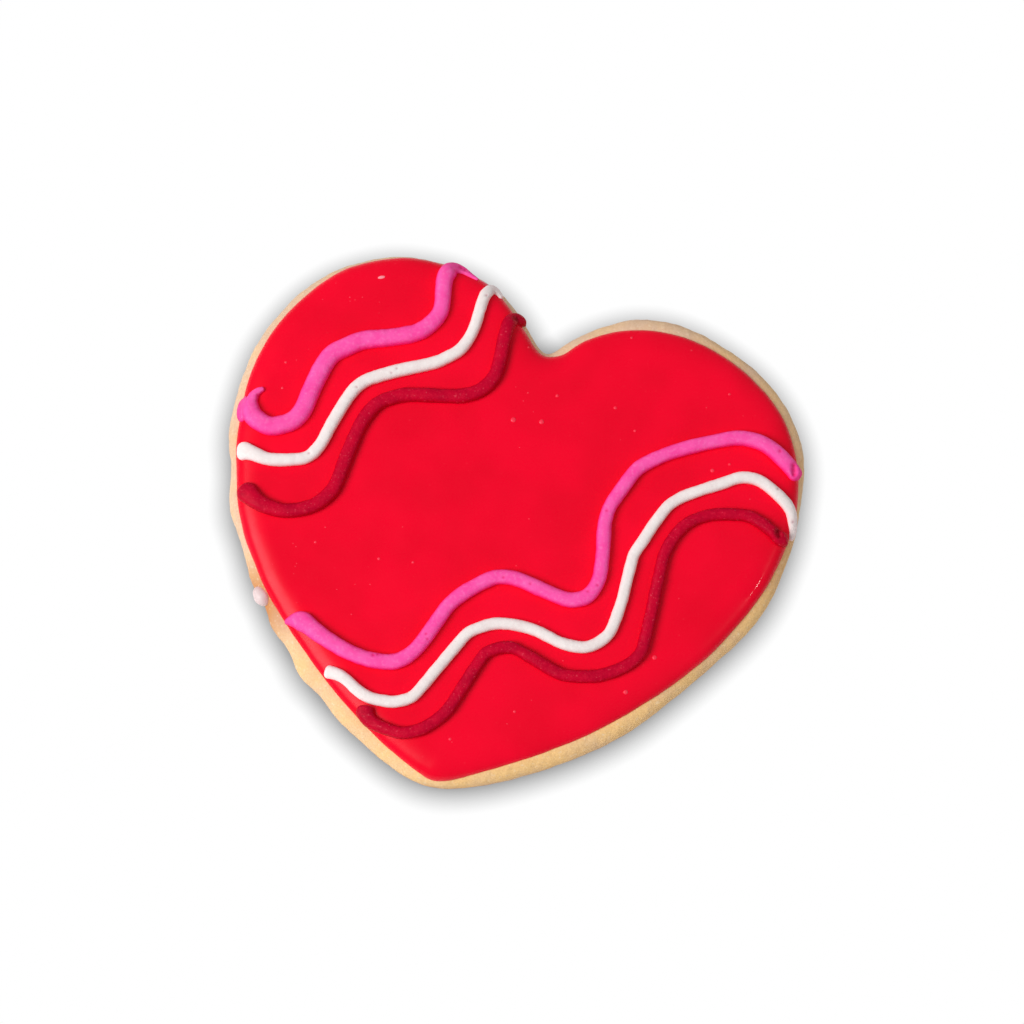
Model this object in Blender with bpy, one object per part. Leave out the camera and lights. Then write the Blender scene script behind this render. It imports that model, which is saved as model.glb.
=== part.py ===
"""A heart-shaped iced sugar cookie: a flat-bottomed biscuit, red icing and six wavy piped lines.

The heart lies flat, its point towards -Y and its notch towards +Y, with its underside at Z 0.
Lengths named below are in millimetres; MM turns them into metres.
"""

import math

import bmesh
import bpy
import numpy as np
from mathutils import Matrix, Vector

MM = 0.001

# Biscuit: a rolled slab with rounded edges.
BISCUIT_THICKNESS = 6.5
BOTTOM_ROUNDING = 0.9
SHOULDER_RISE = 2.2
SHOULDER_WIDTH = 3.0
AROUND = 88

# Icing: a layer that flowed out to its own edge and set with a rounded rim.
ICING_TOP = 8.0
ICING_RIM_HEIGHT = 6.75
ICING_RIM_WIDTH = 3.6
ICING_AROUND = 80
GAP = 0.3

# Piped lines: one station for every STEP of length, each a rounded section. EDGE_MARGIN is how
# far past the icing's rim a line stays level before it droops.
STEP = 1.75
EDGE_MARGIN = 0.5

# The heart's middle, from which every point of both outlines can be seen.
CENTRE = (0.0, -2.0)

# Points along the biscuit's widest edge, clockwise from the notch.
BISCUIT_OUTLINE = [
    (0.3, 29.9), (4.6, 34.5), (12.3, 39.3), (19.0, 40.2), (26.0, 39.0), (32.7, 36.3),
    (37.8, 32.8), (41.7, 28.0), (44.2, 22.0), (45.2, 14.5), (44.9, 6.0), (42.7, -2.9),
    (36.2, -13.6), (28.7, -23.8), (20.5, -31.2), (9.8, -37.7), (3.8, -40.0), (-0.6, -40.3),
    (-9.7, -37.2), (-18.5, -32.0), (-25.3, -26.4), (-30.8, -21.0), (-37.4, -12.3),
    (-42.2, -2.0), (-44.7, 6.0), (-45.1, 14.0), (-43.4, 22.6), (-38.7, 31.4),
    (-33.2, 36.0), (-25.5, 39.2), (-17.8, 39.6), (-10.8, 37.9), (-4.3, 33.3),
]

# Points along the icing's edge, clockwise from the notch.
ICING_OUTLINE = [
    (0.2, 29.0), (4.0, 31.7), (9.8, 35.9), (15.2, 37.6), (21.3, 37.9), (27.5, 36.5),
    (32.7, 34.0), (37.3, 30.6), (42.0, 24.4), (44.3, 13.5), (43.3, 5.4), (39.5, -5.2),
    (32.7, -15.8), (23.2, -26.0), (12.8, -33.8), (4.0, -39.1), (0.7, -39.4), (-4.8, -37.4),
    (-14.7, -32.0), (-25.4, -23.9), (-34.0, -15.2), (-39.5, -6.4), (-42.4, 2.1),
    (-43.4, 12.6), (-41.8, 22.6), (-37.1, 31.1), (-30.2, 36.9), (-20.0, 39.2),
    (-12.0, 38.0), (-6.9, 34.8), (-1.5, 29.9),
]

# Piped lines as (x, y, width), each from its left end to its right end, and how far each rises.
PINK_RISE = 1.6
WHITE_RISE = 1.3
DARK_RISE = 1.5
PIPED_LINES = {
    "pink_line_upper": (PINK_RISE, [
        (-41.2, 10.6, 1.4), (-41.8, 8.8, 2.6), (-40.9, 6.8, 2.9), (-38.0, 5.9, 2.9),
        (-34.7, 7.7, 2.9), (-33.2, 13.0, 2.9), (-32.0, 19.3, 2.9), (-27.8, 23.1, 2.9),
        (-22.0, 25.6, 2.8), (-18.4, 28.6, 2.7), (-17.8, 33.0, 2.6), (-18.4, 37.0, 2.7),
        (-16.8, 39.2, 2.0), (-13.8, 38.7, 1.2),
    ]),
    "white_line_upper": (WHITE_RISE, [
        (-41.6, 0.9, 2.5), (-37.0, 0.8, 2.1), (-31.6, 2.1, 1.9), (-29.3, 5.6, 1.9),
        (-28.2, 11.6, 1.9), (-24.1, 18.0, 2.0), (-16.0, 22.7, 2.0), (-12.3, 27.0, 1.9),
        (-11.7, 33.5, 1.8), (-10.8, 37.1, 1.7),
    ]),
    "dark_line_upper": (DARK_RISE, [
        (-37.4, -5.2, 2.8), (-33.0, -6.5, 2.3), (-27.3, -4.1, 2.2), (-25.1, 1.0, 2.2),
        (-24.4, 9.0, 2.2), (-20.6, 15.6, 2.2), (-12.0, 18.2, 2.2), (-7.4, 21.2, 2.2),
        (-6.5, 27.0, 2.2), (-6.6, 32.0, 2.2), (-5.0, 33.5, 2.0),
    ]),
    "pink_line_lower": (PINK_RISE, [
        (-25.2, -22.1, 2.8), (-20.0, -23.6, 2.4), (-12.0, -24.9, 2.4), (-6.9, -22.6, 2.3),
        (-4.2, -16.0, 2.3), (-0.8, -10.2, 2.3), (5.0, -6.8, 2.3), (13.0, -7.6, 2.3),
        (17.3, -5.0, 2.3), (17.1, 1.0, 2.3), (16.3, 7.0, 2.3), (18.6, 14.4, 2.3),
        (25.0, 20.1, 2.3), (33.5, 24.3, 2.3), (39.0, 23.2, 2.4), (42.8, 20.9, 2.2),
    ]),
    "white_line_lower": (WHITE_RISE, [
        (-18.2, -28.4, 1.9), (-13.5, -29.4, 1.8), (-9.0, -30.4, 1.8), (-4.5, -28.3, 1.8),
        (-1.4, -22.0, 1.8), (2.2, -15.7, 1.8), (8.5, -13.6, 1.8), (15.5, -14.5, 1.8),
        (20.5, -12.6, 1.8), (22.0, -5.5, 1.8), (22.0, 2.0, 1.8), (24.9, 10.3, 1.8),
        (32.2, 16.5, 1.8), (37.5, 18.2, 1.8), (42.6, 15.8, 1.7), (44.1, 13.0, 1.3),
    ]),
    "dark_line_lower": (DARK_RISE, [
        (-10.8, -32.4, 2.3), (-8.6, -34.0, 2.0), (-3.2, -33.7, 2.0), (0.8, -29.8, 2.0),
        (2.9, -22.7, 2.0), (5.6, -17.8, 2.0), (10.5, -17.6, 2.0), (17.0, -19.0, 2.0),
        (23.4, -16.6, 2.0), (27.0, -10.8, 2.0), (26.6, -2.5, 2.0), (27.2, 6.5, 2.0),
        (31.5, 11.1, 2.0), (37.5, 12.4, 2.0), (42.9, 10.6, 2.0),
    ]),
}

# The stray drop of icing that dried on the biscuit's rounded edge.
DROP_LENGTH = 3.5
DROP_WIDTH = 2.6
DROP_RISE = 1.2
DROP_PLACE = (-31.9, -19.6)
DROP_TILT = math.radians(50)

# Colours are linear RGB.
COLOURS = {
    "biscuit": (0.85, 0.60, 0.32),
    "red_icing": (0.88, 0.0, 0.018),
    "pink": (1.0, 0.09, 0.40),
    "white": (0.85, 0.80, 0.79),
    "dark": (0.50, 0.0, 0.015),
    "drop": (0.83, 0.68, 0.66),
}
ROUGHNESS = {
    "biscuit": 0.85, "red_icing": 0.35, "pink": 0.55, "white": 0.6, "dark": 0.5, "drop": 0.5,
}


def catmull_rom(points, closed, per_span=24):
    """A smooth curve through the points, as a dense array of samples."""
    points = np.array(points, float)
    if closed:
        points = np.vstack([points[-1], points, points[0], points[1]])
    else:
        first = 2 * points[0] - points[1]
        last = 2 * points[-1] - points[-2]
        points = np.vstack([first, points, last])
    samples = []
    for a, b, c, d in zip(points, points[1:], points[2:], points[3:]):
        for t in np.arange(per_span) / per_span:
            samples.append(
                b
                + 0.5 * t * (c - a)
                + t**2 * (a - 2.5 * b + 2 * c - 0.5 * d)
                + 0.5 * t**3 * (3 * b - a - 3 * c + d)
            )
    if not closed:
        samples.append(points[-2])
    return np.array(samples)


def spaced(samples, closed, count):
    """The same curve as count points at equal lengths along it."""
    if closed:
        samples = np.vstack([samples, samples[:1]])
    legs = np.linalg.norm(np.diff(samples[:, :2], axis=0), axis=1)
    length = np.concatenate([[0], np.cumsum(legs)])
    wanted = np.linspace(0, length[-1], count + 1 if closed else count)
    found = np.column_stack([np.interp(wanted, length, column) for column in samples.T])
    return found[:-1] if closed else found


class Outline:
    """A closed edge seen from above, with the distance inside it of any point."""

    def __init__(self, points):
        self.edge = spaced(catmull_rom(points, True), True, 720)
        spokes = self.edge - CENTRE
        angles = np.arctan2(spokes[:, 1], spokes[:, 0])
        order = np.argsort(angles)
        self.angles = angles[order]
        self.radii = np.linalg.norm(spokes, axis=1)[order]

    def around(self, count):
        return spaced(self.edge, True, count)

    def inside(self, point):
        """Distance from the edge: positive inside it, negative outside."""
        spoke = np.subtract(point, CENTRE)
        angle = math.atan2(spoke[1], spoke[0])
        reach = np.interp(angle, self.angles, self.radii, period=2 * math.pi)
        nearest = np.linalg.norm(self.edge - point, axis=1).min()
        return nearest if np.linalg.norm(spoke) <= reach else -nearest


BISCUIT = Outline(BISCUIT_OUTLINE)
ICING = Outline(ICING_OUTLINE)


def rounded(depth, width):
    """Share of a quarter ellipse's height at a depth inside its foot."""
    part = min(max(depth / width, 0), 1)
    return math.sqrt(1 - (1 - part) ** 2)


def biscuit_height(point):
    """Height of the biscuit's upper surface."""
    depth = BISCUIT.inside(point)
    return BISCUIT_THICKNESS - SHOULDER_RISE * (1 - rounded(depth, SHOULDER_WIDTH))


def icing_height(point, margin=0):
    """Height of the icing's upper surface with its edge moved out by margin, past which it falls."""
    depth = ICING.inside(point) + margin
    if depth < 0:
        return ICING_RIM_HEIGHT + 1.4 * depth
    rise = ICING_TOP - ICING_RIM_HEIGHT
    return ICING_RIM_HEIGHT + rise * rounded(depth, ICING_RIM_WIDTH)


def towards_centre(ring, distance):
    """The ring's points, each moved along its spoke towards the centre."""
    spokes = ring - CENTRE
    reach = np.linalg.norm(spokes, axis=1, keepdims=True)
    return CENTRE + spokes * (1 - distance / reach)


def material(name, kind):
    made = bpy.data.materials.new(name)
    made.use_nodes = True
    shader = made.node_tree.nodes["Principled BSDF"]
    shader.inputs["Base Color"].default_value = (*COLOURS[kind], 1)
    shader.inputs["Roughness"].default_value = ROUGHNESS[kind]
    shader.inputs["Metallic"].default_value = 0
    return made


def body_from_rings(name, rings, kind, parent):
    """One closed body: rings of equal counts joined in turn, its first and last ring capped."""
    shape = bmesh.new()
    rows = [[shape.verts.new(Vector(point) * MM) for point in ring] for ring in rings]
    count = len(rows[0])
    for lower, upper in zip(rows, rows[1:]):
        for i in range(count):
            j = (i + 1) % count
            shape.faces.new((lower[i], lower[j], upper[j], upper[i]))
    shape.faces.new(rows[0])
    shape.faces.new(rows[-1])
    bmesh.ops.recalc_face_normals(shape, faces=shape.faces)
    mesh = bpy.data.meshes.new(name)
    shape.to_mesh(mesh)
    shape.free()
    mesh.shade_smooth()
    mesh.materials.append(material(name, kind))
    made = bpy.data.objects.new(name, mesh)
    bpy.context.scene.collection.objects.link(made)
    made.parent = parent
    return made


def lifted(ring, height_of):
    return [(x, y, height_of((x, y))) for x, y in ring]


def make_biscuit(parent):
    edge = BISCUIT.around(AROUND)
    rings = []
    for inset, height in ((BOTTOM_ROUNDING, 0), (0.35, 0.2), (0.1, 0.7), (0, 1.6), (0, 3.2)):
        rings.append([(x, y, height) for x, y in towards_centre(edge, inset)])
    foot = BISCUIT_THICKNESS - SHOULDER_RISE
    rings.append([(x, y, foot) for x, y in edge])
    for inset in (0.2, 0.8, 1.9, 4.0):
        rings.append(lifted(towards_centre(edge, inset), biscuit_height))
    rings.append([(x, y, BISCUIT_THICKNESS) for x, y in towards_centre(edge, 7)])
    return body_from_rings("biscuit", rings, "biscuit", parent)


def make_icing(parent):
    edge = ICING.around(ICING_AROUND)

    def underside(point):
        return biscuit_height(point) + GAP

    rings = []
    for inset in (7, 2.6, 0.9):
        rings.append(lifted(towards_centre(edge, inset), underside))
    rings.append(lifted(towards_centre(edge, 0.1), underside))
    rings.append([(x, y, max(icing_height((x, y)), z + GAP)) for x, y, z in lifted(edge, underside)])
    for inset in (0.3, 0.9, 2.0, 3.8, 7):
        rings.append(lifted(towards_centre(edge, inset), icing_height))
    return body_from_rings("red_icing", rings, "red_icing", parent)


def line_section(centre, across, width, rise):
    """One section of a piped line: its foot lies on the surface below, its back is round."""

    def ground(shift):
        point = centre + across * shift
        return max(icing_height(point, EDGE_MARGIN), biscuit_height(point)) + GAP

    middle = ground(0)
    section = []
    for shift, share in ((-0.34, 0), (-0.5, 0.42), (-0.37, 0.82), (-0.13, 1)):
        section.append((shift * width, share * rise))
    section += [(-shift, height) for shift, height in reversed(section)]
    points = []
    for shift, height in section:
        below = ground(shift)
        base = below if height == 0 else max(middle, below)
        x, y = centre + across * shift
        points.append((x, y, base + height))
    return points


def make_line(name, rise, points, kind, parent):
    samples = catmull_rom(points, False)
    length = np.linalg.norm(np.diff(samples[:, :2], axis=0), axis=1).sum()
    stations = spaced(samples, False, round(length / STEP) + 1)
    ahead = np.gradient(stations[:, :2], axis=0)
    ahead /= np.linalg.norm(ahead, axis=1, keepdims=True)
    across = np.column_stack([-ahead[:, 1], ahead[:, 0]])
    rings = []
    last = len(stations) - 1
    for i, (x, y, width) in enumerate(stations):
        middle = np.array((x, y))
        round_end = {0: -1, last: 1}.get(i)
        if round_end == 1:
            rings.append(line_section(middle, across[i], width * 0.94, rise * 0.95))
            beyond = middle + ahead[i] * width * 0.32
            rings.append(line_section(beyond, across[i], width * 0.62, rise * 0.7))
        elif round_end == -1:
            beyond = middle - ahead[i] * width * 0.32
            rings.append(line_section(beyond, across[i], width * 0.62, rise * 0.7))
            rings.append(line_section(middle, across[i], width * 0.94, rise * 0.95))
        else:
            rings.append(line_section(middle, across[i], width, rise))
    return body_from_rings(name, rings, kind, parent)


def make_drop(parent):
    """Half an ellipsoid whose flat face leans against the biscuit's rounded shoulder."""
    rings = []
    for angle in np.radians((0, 20, 42, 64, 80)):
        ring = []
        for turn in np.linspace(0, 2 * math.pi, 16, endpoint=False):
            x = DROP_LENGTH / 2 * math.cos(angle) * math.cos(turn)
            y = DROP_WIDTH / 2 * math.cos(angle) * math.sin(turn)
            ring.append((x, y, DROP_RISE * math.sin(angle)))
        rings.append(ring)
    drop = body_from_rings("icing_drop", rings, "drop", parent)
    nearest = np.argmin(np.linalg.norm(BISCUIT.edge - DROP_PLACE, axis=1))
    along = BISCUIT.edge[(nearest + 6) % 720] - BISCUIT.edge[nearest - 6]
    heading = math.atan2(along[1], along[0])
    out = Vector((-math.sin(heading), math.cos(heading), 0))
    normal = out * math.sin(DROP_TILT) + Vector((0, 0, math.cos(DROP_TILT)))
    # Where the quarter ellipse of the shoulder has this normal.
    around = math.atan2(SHOULDER_RISE, SHOULDER_WIDTH * math.tan(DROP_TILT))
    inset = SHOULDER_WIDTH * (1 - math.cos(around))
    height = BISCUIT_THICKNESS - SHOULDER_RISE * (1 - math.sin(around))
    shoulder = Vector((*BISCUIT.edge[nearest], height)) - out * inset
    lean = Matrix.Rotation(heading, 3, "Z") @ Matrix.Rotation(-DROP_TILT, 3, "X")
    drop.rotation_euler = lean.to_euler()
    drop.location = (shoulder + normal * GAP) * MM
    return drop


def clear_scene():
    for old in list(bpy.data.objects):
        bpy.data.objects.remove(old, do_unlink=True)


clear_scene()
cookie = bpy.data.objects.new("cookie", None)
bpy.context.scene.collection.objects.link(cookie)
make_biscuit(cookie)
make_icing(cookie)
for line_name, (line_rise, line_points) in PIPED_LINES.items():
    make_line(line_name, line_rise, line_points, line_name.split("_")[0], cookie)
make_drop(cookie)
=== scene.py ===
"""Looks of the iced sugar cookie: biscuit, red icing, six piped lines, a stray drop and bubbles.

Lengths named below are in millimetres in the row frame; MM turns them into metres.
"""

import math

import bpy
import numpy as np
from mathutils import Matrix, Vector
from mathutils.kdtree import KDTree


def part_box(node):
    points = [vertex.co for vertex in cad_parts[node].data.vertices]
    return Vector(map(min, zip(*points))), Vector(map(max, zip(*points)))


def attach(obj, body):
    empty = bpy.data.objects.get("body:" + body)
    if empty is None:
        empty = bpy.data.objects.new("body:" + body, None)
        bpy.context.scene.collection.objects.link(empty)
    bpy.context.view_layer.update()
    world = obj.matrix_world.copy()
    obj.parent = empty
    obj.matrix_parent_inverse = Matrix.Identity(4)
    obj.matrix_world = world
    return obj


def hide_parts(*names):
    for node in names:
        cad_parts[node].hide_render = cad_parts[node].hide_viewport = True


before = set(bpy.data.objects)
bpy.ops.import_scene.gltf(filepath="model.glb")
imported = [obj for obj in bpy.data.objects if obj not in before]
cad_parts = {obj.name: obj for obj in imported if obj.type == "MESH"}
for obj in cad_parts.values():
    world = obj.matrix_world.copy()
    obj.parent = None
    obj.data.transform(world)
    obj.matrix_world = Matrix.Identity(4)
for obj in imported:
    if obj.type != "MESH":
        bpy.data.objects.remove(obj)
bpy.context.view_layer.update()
biscuit_low, biscuit_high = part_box("biscuit")

# Sizes of the CAD part, with softer shoulders and a rounder rim on the icing.
BISCUIT_WIDTH = 90.45
BISCUIT_THICKNESS = 6.5
SHOULDER_RISE = 2.3
SHOULDER_WIDTH = 3.0
ICING_TOP = 8.05
ICING_RIM_WIDTH = 4.0
# The heart's middle, from which every point of both outlines can be seen.
CENTRE = np.array((0.0, -2.0))
# Metres in a millimetre: of the frame for the shapes, and plain for what the materials repeat.
MM = (biscuit_high[0] - biscuit_low[0]) / BISCUIT_WIDTH
MILLIMETRE = 0.001

# How finely things are made.
EDGE_SAMPLES = 1440
BISCUIT_AROUND = 1300
ICING_AROUND = 1100
LINE_STEP = 0.16
LATTICE_SIZE = 32

# Points along the biscuit's widest edge, clockwise from the notch.
BISCUIT_OUTLINE = [
    (0.3, 29.8), (2.7, 32.5), (4.6, 34.4), (7.9, 36.9), (12.3, 39.3), (19.0, 40.2),
    (26.0, 38.9), (32.7, 36.2), (37.1, 33.3), (41.0, 29.0), (43.7, 23.7), (45.0, 15.8),
    (45.2, 10.8), (44.4, 2.6), (42.7, -2.7), (40.1, -7.5), (36.2, -13.5), (32.6, -18.7),
    (29.0, -23.5), (28.2, -24.2), (25.6, -26.8), (20.4, -31.1), (15.2, -34.6), (9.7, -37.7),
    (4.8, -39.7), (2.2, -40.3), (-0.4, -40.4), (-4.6, -39.3), (-9.8, -37.2), (-15.1, -34.4),
    (-18.6, -31.8), (-22.3, -29.9), (-25.4, -26.3), (-28.7, -23.9), (-30.7, -21.0),
    (-33.8, -18.0), (-37.3, -12.4), (-40.6, -7.6), (-42.1, -2.0), (-44.4, 4.0), (-45.0, 10.8),
    (-44.8, 16.6), (-43.7, 21.4), (-41.9, 25.7), (-40.2, 28.8), (-36.8, 33.1), (-33.1, 35.9),
    (-29.5, 37.9), (-25.4, 39.2), (-20.6, 39.7), (-15.8, 39.4), (-11.2, 38.2), (-7.6, 36.2),
    (-4.2, 33.3), (-2.0, 31.0),
]

# Points along the icing's edge, clockwise from the notch.
ICING_OUTLINE = [
    (0.2, 29.0), (2.6, 29.9), (4.0, 31.6), (5.9, 33.5), (9.8, 35.9), (15.2, 37.6), (21.3, 37.8),
    (27.5, 36.4), (32.7, 34.0), (37.4, 30.6), (40.6, 26.6), (43.3, 20.6), (44.4, 13.5),
    (43.4, 5.3), (41.8, 0.0), (39.5, -5.2), (36.7, -10.4), (32.8, -15.8), (28.8, -20.4),
    (23.2, -26.0), (18.0, -30.2), (12.8, -33.8), (7.7, -37.0), (3.2, -39.4), (0.7, -39.5),
    (-4.8, -37.4), (-9.5, -35.0), (-14.7, -31.9), (-19.3, -28.7), (-25.4, -23.8),
    (-30.4, -19.3), (-34.0, -15.2), (-37.1, -11.0), (-39.5, -6.4), (-40.8, -2.6), (-42.3, 2.0),
    (-43.5, 10.3), (-43.4, 15.4), (-42.4, 20.6), (-40.5, 25.4), (-37.0, 31.0), (-33.6, 34.6),
    (-29.8, 36.8), (-25.4, 38.7), (-20.1, 39.2), (-15.2, 38.7), (-12.0, 37.9), (-8.9, 36.2),
    (-4.4, 32.4), (-1.6, 29.8),
]

# Piped lines as (x, y, width), each from its left end to its right end.
PINK_UPPER = [
    (-40.2, 11.5, 0.6), (-41.0, 11.1, 1.0), (-41.6, 10.3, 1.4), (-41.8, 9.1, 2.0),
    (-41.5, 7.8, 2.8), (-40.7, 6.6, 3.0), (-38.0, 5.8, 2.9), (-36.3, 6.4, 2.9),
    (-34.6, 7.6, 2.9), (-33.6, 9.7, 2.9), (-33.1, 14.8, 2.9), (-32.0, 19.3, 2.9),
    (-30.0, 21.3, 2.9), (-27.8, 23.1, 2.9), (-25.0, 24.2, 2.8), (-22.0, 25.5, 2.8),
    (-19.3, 27.3, 2.7), (-17.6, 30.4, 2.6), (-17.8, 33.0, 2.6), (-18.4, 35.9, 2.7),
    (-18.2, 37.8, 2.7), (-17.3, 38.8, 2.1), (-15.8, 38.6, 1.4), (-14.4, 38.1, 0.8),
    (-13.2, 37.8, 0.4),
]
WHITE_UPPER = [
    (-41.9, 0.7, 2.9), (-40.6, 1.0, 2.9), (-39.2, 1.0, 2.4), (-37.0, 0.7, 2.1),
    (-35.0, 1.0, 2.0), (-31.5, 2.2, 1.9), (-30.0, 3.6, 1.9), (-29.2, 5.8, 1.9),
    (-28.7, 8.8, 1.9), (-27.2, 14.3, 2.0), (-26.0, 16.4, 2.0), (-24.1, 18.0, 2.0),
    (-20.0, 20.5, 2.0), (-16.0, 22.7, 1.9), (-14.5, 24.0, 1.9), (-13.0, 25.4, 1.9),
    (-12.2, 27.3, 1.8), (-11.7, 29.8, 1.8), (-11.7, 34.5, 1.8), (-11.4, 36.2, 1.8),
    (-10.8, 37.0, 1.7), (-9.9, 36.8, 1.1), (-8.9, 35.8, 0.6),
]
DARK_UPPER = [
    (-39.6, -4.3, 2.7), (-38.0, -5.2, 3.2), (-35.8, -6.2, 2.6), (-33.0, -6.5, 2.3),
    (-31.0, -6.2, 2.2), (-29.0, -5.3, 2.2), (-27.3, -4.1, 2.2), (-25.9, -2.2, 2.2),
    (-25.2, 0.0, 2.2), (-24.9, 5.0, 2.2), (-24.5, 9.0, 2.2), (-23.8, 11.8, 2.2),
    (-22.5, 14.1, 2.2), (-20.4, 15.7, 2.2), (-18.0, 16.7, 2.2), (-12.0, 18.2, 2.2),
    (-10.0, 18.9, 2.2), (-7.8, 20.5, 2.2), (-6.6, 22.7, 2.2), (-6.4, 25.4, 2.2),
    (-6.8, 31.4, 2.2), (-6.3, 33.1, 2.2), (-5.2, 33.4, 2.1), (-4.5, 32.6, 1.8),
]
PINK_LOWER = [
    (-27.0, -22.8, 0.4), (-26.1, -22.5, 1.3), (-24.9, -22.1, 2.7), (-23.6, -22.1, 3.1),
    (-22.0, -22.8, 2.7), (-18.0, -24.2, 2.5), (-15.0, -24.8, 2.4), (-12.0, -24.9, 2.4),
    (-10.0, -24.6, 2.4), (-8.6, -24.1, 2.4), (-6.9, -22.7, 2.3), (-5.6, -20.4, 2.3),
    (-3.9, -15.3, 2.3), (-2.9, -13.0, 2.3), (-1.0, -10.5, 2.3), (1.5, -8.1, 2.3),
    (3.0, -7.2, 2.3), (5.0, -6.8, 2.3), (7.0, -6.9, 2.3), (13.0, -7.7, 2.3), (15.0, -7.5, 2.3),
    (16.8, -6.4, 2.3), (17.7, -3.7, 2.2), (17.4, -0.2, 2.2), (16.3, 4.8, 2.2), (16.2, 6.8, 2.2),
    (16.5, 8.8, 2.2), (18.5, 14.3, 2.2), (20.0, 16.3, 2.2), (23.0, 18.8, 2.2),
    (27.0, 21.3, 2.2), (30.0, 22.9, 2.2), (32.5, 24.0, 2.3), (35.0, 24.3, 2.3),
    (37.0, 24.0, 2.3), (39.0, 23.2, 2.4), (41.6, 21.7, 2.4), (43.4, 20.4, 2.3),
]
WHITE_LOWER = [
    (-18.8, -28.3, 2.1), (-16.3, -28.4, 1.9), (-14.5, -29.0, 1.8), (-13.0, -29.8, 1.8),
    (-11.0, -30.4, 1.8), (-9.0, -30.4, 1.8), (-7.0, -30.1, 1.8), (-5.6, -29.3, 1.8),
    (-4.2, -28.0, 1.8), (-0.9, -20.5, 1.8), (0.7, -17.0, 1.8), (2.0, -15.8, 1.8),
    (4.0, -14.5, 1.8), (6.0, -13.9, 1.8), (8.5, -13.6, 1.8), (11.0, -13.7, 1.8),
    (14.5, -14.4, 1.8), (16.5, -14.4, 1.8), (18.5, -14.1, 1.8), (20.3, -12.8, 1.8),
    (21.6, -10.6, 1.8), (22.0, -5.5, 1.8), (21.8, 1.6, 1.8), (22.3, 3.3, 1.8), (24.4, 9.6, 1.8),
    (25.7, 11.6, 1.8), (27.3, 13.1, 1.8), (32.2, 16.5, 1.8), (34.2, 17.9, 1.8),
    (36.4, 18.4, 1.8), (38.5, 18.0, 1.8), (42.2, 16.1, 1.8), (43.6, 14.7, 1.7),
    (44.2, 13.2, 1.5), (44.5, 11.9, 1.2), (44.5, 10.9, 0.8),
]
DARK_LOWER = [
    (-11.2, -31.5, 2.6), (-10.9, -32.7, 2.8), (-9.9, -33.7, 2.3), (-8.6, -34.1, 2.0),
    (-7.0, -34.3, 1.9), (-5.0, -34.4, 1.9), (-3.4, -33.8, 1.9), (-1.6, -32.7, 1.9),
    (0.5, -30.2, 1.9), (1.6, -27.7, 1.9), (3.8, -20.1, 1.9), (4.9, -18.5, 1.9),
    (6.8, -17.4, 1.9), (8.5, -17.2, 1.9), (10.5, -17.7, 1.9), (15.0, -18.9, 1.9),
    (17.0, -19.0, 1.9), (21.0, -18.0, 1.9), (23.0, -16.9, 1.9), (25.1, -15.3, 1.9),
    (26.6, -13.2, 1.9), (27.0, -10.5, 1.9), (26.3, 1.8, 1.9), (26.5, 4.3, 1.9),
    (27.3, 6.8, 1.9), (28.5, 8.8, 1.9), (30.4, 10.4, 1.9), (32.5, 11.4, 1.9), (36.5, 12.4, 1.9),
    (38.5, 12.2, 1.9), (41.5, 11.1, 1.9), (42.9, 10.4, 2.3), (44.3, 10.9, 2.0),
]

# Places on the biscuit's side that baked darker, as (x, y, radius, strength), and their height.
BROWNED_HEIGHT = 4
BROWNED = [(-32.5, -21.5, 8, 1.5), (-41, 3, 6, 0.25), (44, 8, 10, 0.3)]

# Bubbles in the icing as (x, y, radius).
BUBBLES = [
    (-1.8, 17.3, 0.4), (2.5, 18.2, 0.38), (3.7, 22.9, 0.25), (12.9, 23.5, 0.25),
    (29.1, -12.6, 0.35), (26.3, -18.9, 0.35), (30.0, 18.0, 0.3), (-38.5, 16.4, 0.2),
    (-37.8, 12.3, 0.2), (-25.7, -9.7, 0.2), (-15.6, -9.5, 0.22), (-10.4, -8.6, 0.2),
    (2.7, -33.1, 0.22), (10.9, -26.4, 0.2), (16.8, 20.8, 0.2), (29.4, 30.5, 0.2),
    (12.3, 35.2, 0.2), (32.3, 19.7, 0.2), (-0.8, 22.1, 0.13), (-2.8, 29.3, 0.14),
]

# Clusters of tiny specks in the icing as (x, y, spread, count).
SPECKS = [
    (-35, 27, 4, 16), (-25, -15, 5, 16), (5, 15, 16, 18), (15, -25, 9, 10), (30, 25, 8, 8),
]

# Pits in the piped lines as (x, y, radius, depth).
PINK_LOWER_PITS = [
    (3.7, -7.3, 0.2, 0.12), (7.9, -7.1, 0.2, 0.12), (-12.0, -24.2, 0.25, 0.14),
    (-11.4, -23.9, 0.2, 0.1), (17.8, -4.5, 0.2, 0.12), (16.6, -5.8, 0.2, 0.12),
    (16.0, 7.1, 0.2, 0.1), (39.2, 23.5, 0.25, 0.14), (-5.2, -18.9, 0.2, 0.12),
    (-4.8, -19.6, 0.18, 0.1), (41.9, 22.0, 0.4, 0.4), (42.1, 21.4, 0.45, 0.5),
    (42.3, 20.8, 0.4, 0.5),
]
PINK_UPPER_PITS = [
    (-16.6, 38.9, 0.35, 0.3), (-15.9, 38.8, 0.3, 0.25), (-40.6, 9.3, 0.35, 0.3),
    (-40.9, 10.0, 0.3, 0.25),
]
WHITE_UPPER_PITS = [
    (-26.5, 15.3, 0.18, 0.1), (-21.4, 19.9, 0.18, 0.1), (-22.0, 19.0, 0.16, 0.1),
    (-30.6, 3.2, 0.18, 0.1), (-11.3, 35.2, 0.2, 0.12),
]
WHITE_LOWER_PITS = [(40.4, 17.7, 0.2, 0.12), (44.0, 13.6, 0.22, 0.12)]
DARK_UPPER_PITS = [(-5.9, 33.1, 0.4, 0.4)]
DARK_LOWER_PITS = [(42.2, 11.3, 0.5, 0.7), (42.5, 10.7, 0.4, 0.5)]

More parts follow.
